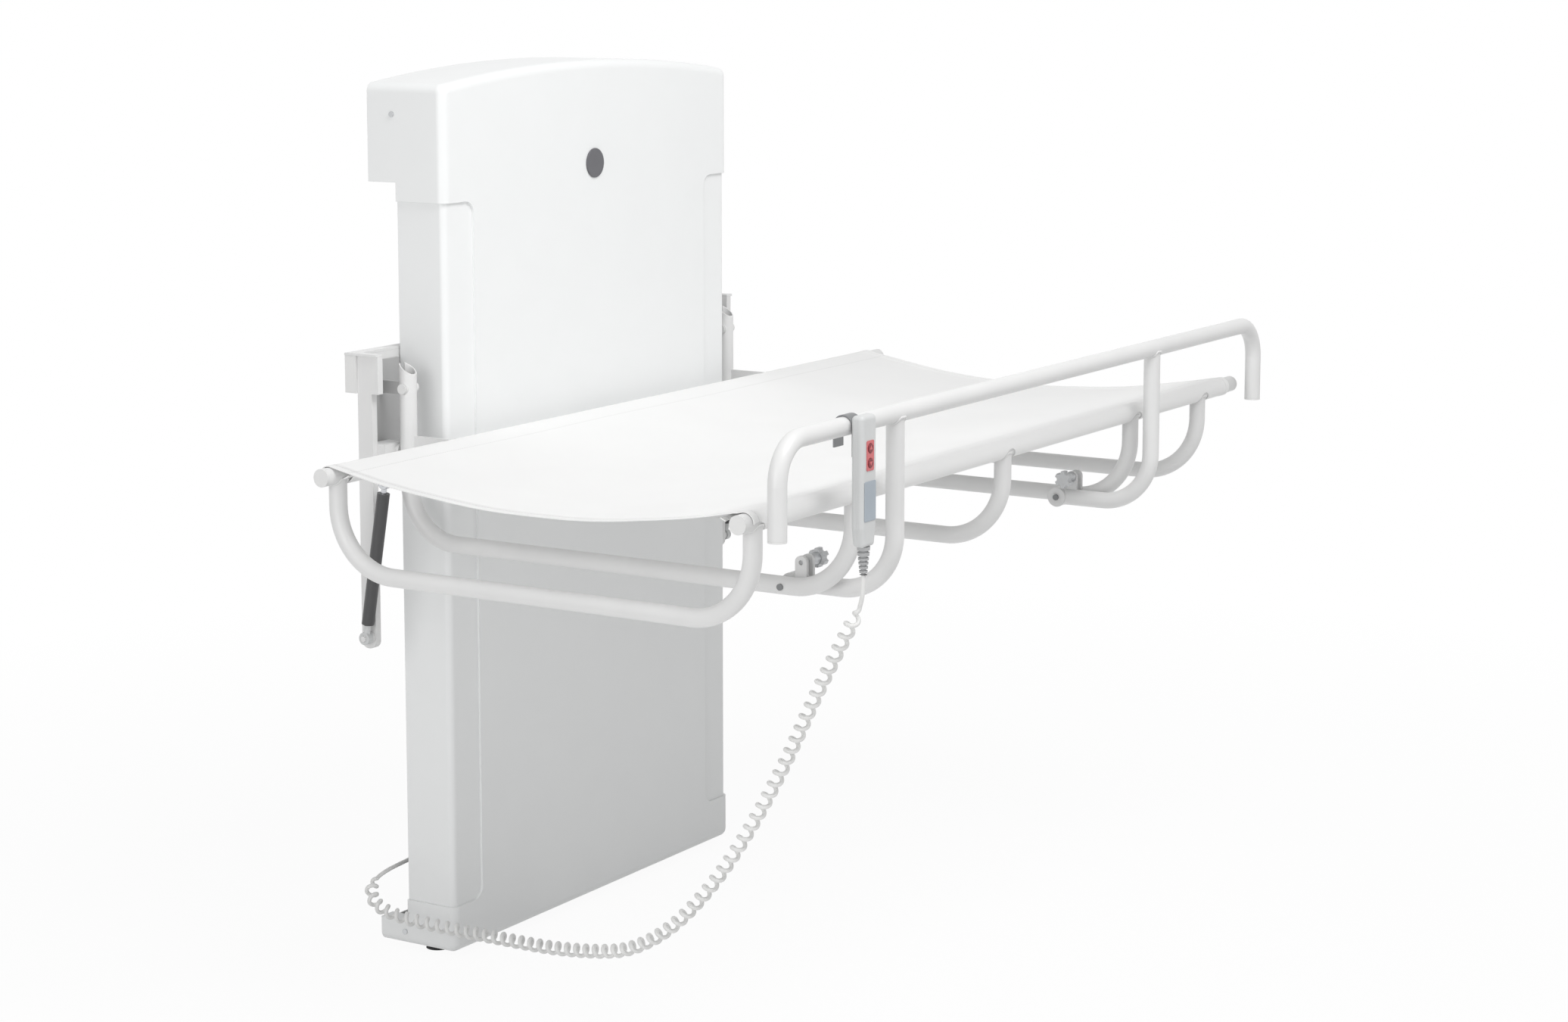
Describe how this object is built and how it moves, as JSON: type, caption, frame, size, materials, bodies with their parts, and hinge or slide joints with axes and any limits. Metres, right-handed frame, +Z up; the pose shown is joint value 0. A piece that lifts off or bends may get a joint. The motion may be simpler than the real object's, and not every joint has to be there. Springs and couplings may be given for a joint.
{
  "type": "changing bench",
  "caption": "Wall-hung changing bench: a sagging sheet on a bent tube frame that folds up and rides up and down a casing, with a fold-down side rail and a corded handset.",
  "frame": {"origin": "point where the wall, the floor and the casing's middle plane meet, on the wall plate's back face", "axes": "+X along the wall to the right as seen from the room, +Y into the wall, +Z up"},
  "size_m": [1.806, 1.113, 1.5778],
  "materials": {
    "white_casing": "smooth moulded white",
    "grey_badge": "blank grey disc",
    "foot_rubber": "dull black rubber",
    "screw_steel": "bright fasteners",
    "plate_steel": "white paint",
    "guide_steel": "ground steel",
    "cast_alloy": "plain alloy",
    "bearing_plastic": "dark bearing plastic",
    "drive_grey": "grey drive housing",
    "box_grey": "grey control box",
    "white_steel": "white powder coat",
    "white_plugs": "white end plugs",
    "sheet_cloth": "coated white cloth",
    "spring_paint": "dark grey paint",
    "knob_plastic": "grey grip plastic",
    "handset_shell": "light grey shell",
    "bracket_grey": "grey paint",
    "pad_rubber": "white rubber",
    "relief_rubber": "grey ribbed sleeve",
    "window_red": "red key plate",
    "button_red": "dark red keys",
    "pad_blue": "blank blue grey plate",
    "board_green": "circuit board",
    "hook_steel": "dark bent strip and bolts",
    "cord_white": "off-white cord"
  },
  "bodies": {
    "wall_unit": {"front_cover": "white_casing", "corner_panel_left": "white_casing", "corner_panel_right": "white_casing", "badge_disc": "grey_badge", "rubber_feet": "foot_rubber", "cover_screws": "screw_steel", "wall_plate": "plate_steel", "guide_shaft_left": "guide_steel", "guide_shaft_right": "guide_steel", "guide_supports": "cast_alloy", "actuator_tube": "cast_alloy", "actuator_motor": "drive_grey", "actuator_foot": "cast_alloy", "control_box": "box_grey", "cord_gland": "cord_white", "curly_cord": "cord_white"},
    "carriage": {"actuator_rod": "guide_steel", "carriage_plate": "plate_steel", "guide_bushings": "bearing_plastic", "lift_beam": "white_steel", "beam_cap": "white_steel", "beam_end_plugs": "white_plugs", "hanger_left": "white_steel", "hanger_right": "white_steel", "stop_pads": "pad_rubber", "hinge_bracket_left": "bracket_grey", "hinge_bracket_right": "bracket_grey", "hinge_pins": "white_steel", "spring_foot_pins": "white_steel"},
    "stretcher": {"front_tube": "white_steel", "rear_tube": "white_steel", "tube_end_plugs": "white_plugs", "cross_tube_left": "white_steel", "cross_tube_middle": "white_steel", "cross_tube_right": "white_steel", "arm_left": "white_steel", "arm_right": "white_steel", "spring_studs": "white_steel", "pivot_bolts": "hook_steel", "lying_sheet": "sheet_cloth"},
    "rail": {"rail_bar": "white_steel", "rail_end_plugs": "white_plugs", "rail_post_left": "white_steel", "rail_post_right": "white_steel", "latch_housings": "cast_alloy", "handset_front": "handset_shell", "handset_back": "handset_shell", "handset_window": "window_red", "handset_pad": "pad_blue", "handset_board": "board_green", "handset_hook": "hook_steel", "strain_relief": "relief_rubber"},
    "button_up": {"button_up": "button_red"},
    "button_down": {"button_down": "button_red"},
    "spring_barrel_left": {"spring_barrel_left": "spring_paint"},
    "spring_rod_left": {"spring_rod_left": "guide_steel"},
    "latch_left": {"latch_knob_left": "knob_plastic"},
    "spring_barrel_right": {"spring_barrel_right": "spring_paint"},
    "spring_rod_right": {"spring_rod_right": "guide_steel"},
    "latch_right": {"latch_knob_right": "knob_plastic"}
  },
  "joints": [
    {"name": "lift", "type": "slide", "parent": "wall_unit", "child": "carriage", "axis": [0, 0, 1], "range_m": [-0.38, 0.1], "deforming": ["curly_cord"]},
    {"name": "fold", "type": "hinge", "parent": "carriage", "child": "stretcher", "pos_m": [0, -0.125, 1.03], "axis": [-1, 0, 0], "range_deg": [0, 84], "deforming": ["curly_cord"]},
    {"name": "rail_fold", "type": "hinge", "parent": "stretcher", "child": "rail", "pos_m": [0, -0.887, 0.766], "axis": [1, 0, 0], "range_deg": [0, 135], "deforming": ["curly_cord"]},
    {"name": "spring_swing_left", "type": "hinge", "parent": "carriage", "child": "spring_barrel_left", "pos_m": [-0.574, -0.078, 0.598], "axis": [1, 0, 0], "range_deg": [0, 16.3]},
    {"name": "spring_stroke_left", "type": "slide", "parent": "spring_barrel_left", "child": "spring_rod_left", "axis": [0, -0.1673, 0.9859], "range_m": [0, 0.1815]},
    {"name": "latch_pull_left", "type": "slide", "parent": "rail", "child": "latch_left", "axis": [1, 0, 0], "range_m": [0, 0.01], "stiffness_N_per_m": 400, "springref_m": -0.01},
    {"name": "spring_swing_right", "type": "hinge", "parent": "carriage", "child": "spring_barrel_right", "pos_m": [0.574, -0.078, 0.598], "axis": [1, 0, 0], "range_deg": [0, 16.3]},
    {"name": "spring_stroke_right", "type": "slide", "parent": "spring_barrel_right", "child": "spring_rod_right", "axis": [0, -0.1673, 0.9859], "range_m": [0, 0.1815]},
    {"name": "latch_pull_right", "type": "slide", "parent": "rail", "child": "latch_right", "axis": [-1, 0, 0], "range_m": [0, 0.01], "stiffness_N_per_m": 400, "springref_m": -0.01},
    {"name": "press_up", "type": "slide", "parent": "rail", "child": "button_up", "axis": [0, 1, 0], "range_m": [0, 0.0012], "stiffness_N_per_m": 600, "springref_m": -0.001},
    {"name": "press_down", "type": "slide", "parent": "rail", "child": "button_down", "axis": [0, 1, 0], "range_m": [0, 0.0012], "stiffness_N_per_m": 600, "springref_m": -0.001}
  ],
  "couplings": [
    {"joint": "spring_swing_left", "follows": "fold", "ratio": 0.19274},
    {"joint": "spring_stroke_left", "follows": "fold", "m_per_rad": 0.12342},
    {"joint": "spring_swing_right", "follows": "fold", "ratio": 0.19274},
    {"joint": "spring_stroke_right", "follows": "fold", "m_per_rad": 0.12342}
  ]
}
